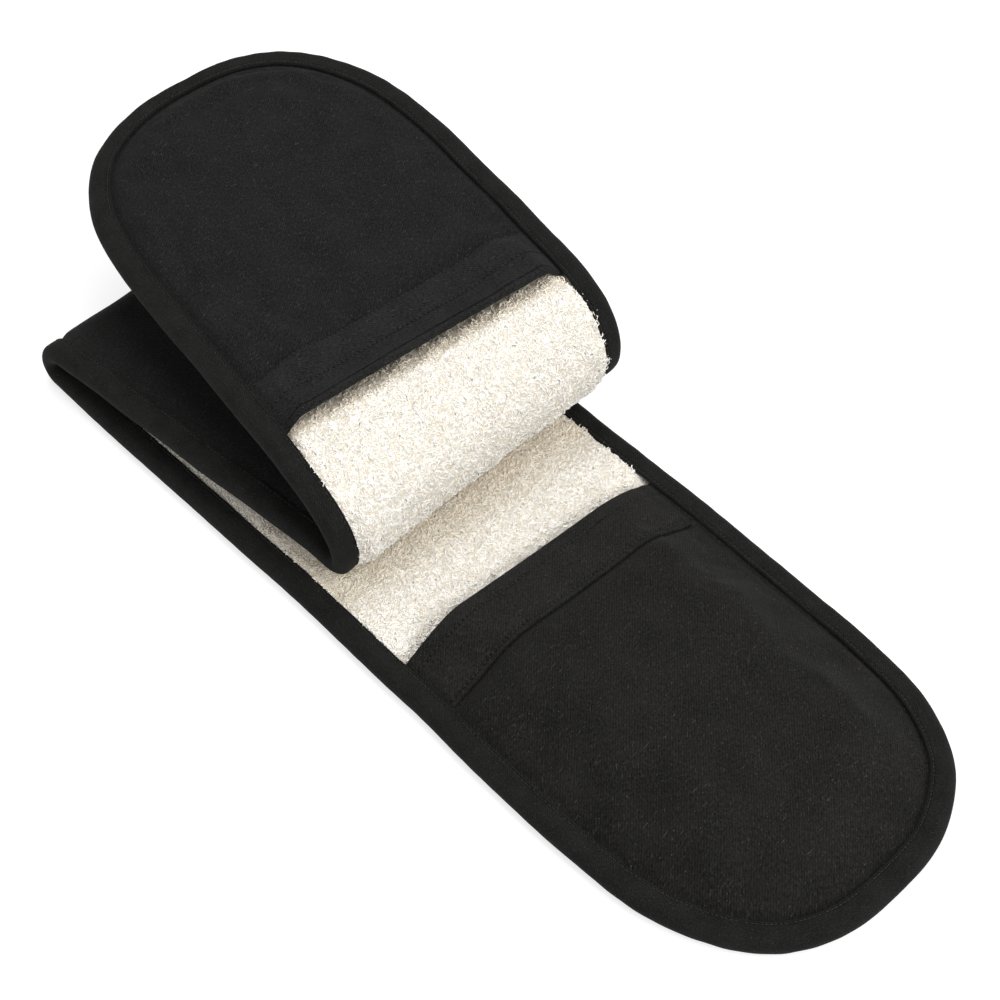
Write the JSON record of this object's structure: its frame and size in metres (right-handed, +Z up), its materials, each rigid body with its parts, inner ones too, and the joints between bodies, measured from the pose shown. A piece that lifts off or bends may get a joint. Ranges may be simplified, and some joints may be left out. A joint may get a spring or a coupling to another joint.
{
  "type": "double oven glove",
  "caption": "Long padded strip of black twill and cream terry with a hand pocket at each round end, folded in three, for carrying hot dishes.",
  "frame": {"origin": "centre of the bounding box in plan, on the surface that the folded glove lies on", "axes": "+X along the strip towards the lower pocket's round tip, +Y across it, +Z up through the folded layers"},
  "size_m": [0.5156, 0.2014, 0.0873],
  "materials": {
    "black_twill": "matt cotton twill",
    "black_bias_binding": "matt folded cotton tape",
    "cream_terry": "looped cotton pile",
    "white_wadding": "soft polyester wadding",
    "black_lining": "plain matt cotton"
  },
  "bodies": {
    "lower_panel": {"lower_backing": "black_twill", "lower_wadding": "white_wadding", "lower_terry": "cream_terry", "lower_binding": "black_bias_binding", "lower_pocket_lining": "black_lining", "lower_pocket_wadding": "white_wadding", "lower_pocket_shell": "black_twill", "lower_pocket_hem": "black_twill"},
    "rear_fold": {"rear_fold_backing": "black_twill", "rear_fold_wadding": "white_wadding", "rear_fold_terry": "cream_terry", "rear_fold_binding_near": "black_bias_binding", "rear_fold_binding_far": "black_bias_binding"},
    "middle_panel": {"middle_backing": "black_twill", "middle_wadding": "white_wadding", "middle_terry": "cream_terry", "middle_binding_near": "black_bias_binding", "middle_binding_far": "black_bias_binding"},
    "front_fold": {"front_fold_backing": "black_twill", "front_fold_wadding": "white_wadding", "front_fold_terry": "cream_terry", "front_fold_binding_near": "black_bias_binding", "front_fold_binding_far": "black_bias_binding"},
    "upper_panel": {"upper_backing": "black_twill", "upper_wadding": "white_wadding", "upper_terry": "cream_terry", "upper_binding": "black_bias_binding", "upper_pocket_lining": "black_lining", "upper_pocket_wadding": "white_wadding", "upper_pocket_shell": "black_twill", "upper_pocket_hem": "black_twill"}
  },
  "joints": [
    {"name": "rear_fold_lower", "type": "hinge", "parent": "lower_panel", "child": "rear_fold", "pos_m": [-0.20408, -0.01574, 0.00739], "axis": [0.0176, -0.9998, 0], "range_deg": [0, 90], "deforming": ["rear_fold_backing", "rear_fold_wadding", "rear_fold_terry", "rear_fold_binding_near", "rear_fold_binding_far"]},
    {"name": "rear_fold_upper", "type": "hinge", "parent": "rear_fold", "child": "middle_panel", "pos_m": [-0.20408, -0.01568, 0.02011], "axis": [0.0529, -0.9986, 0], "range_deg": [0, 90]},
    {"name": "front_fold_lower", "type": "hinge", "parent": "middle_panel", "child": "front_fold", "pos_m": [-0.01325, -0.00238, 0.02484], "axis": [-0.0698, 0.9976, 0], "range_deg": [-3, 70], "deforming": ["front_fold_backing", "front_fold_wadding", "front_fold_terry", "front_fold_binding_near", "front_fold_binding_far"]},
    {"name": "front_fold_upper", "type": "hinge", "parent": "front_fold", "child": "upper_panel", "pos_m": [-0.01221, -0.00177, 0.05722], "axis": [0.1083, 0.9935, 0.0355], "range_deg": [-3, 70]}
  ],
  "couplings": [
    {"joint": "rear_fold_upper", "follows": "rear_fold_lower", "ratio": 1},
    {"joint": "front_fold_upper", "follows": "front_fold_lower", "ratio": 1}
  ]
}
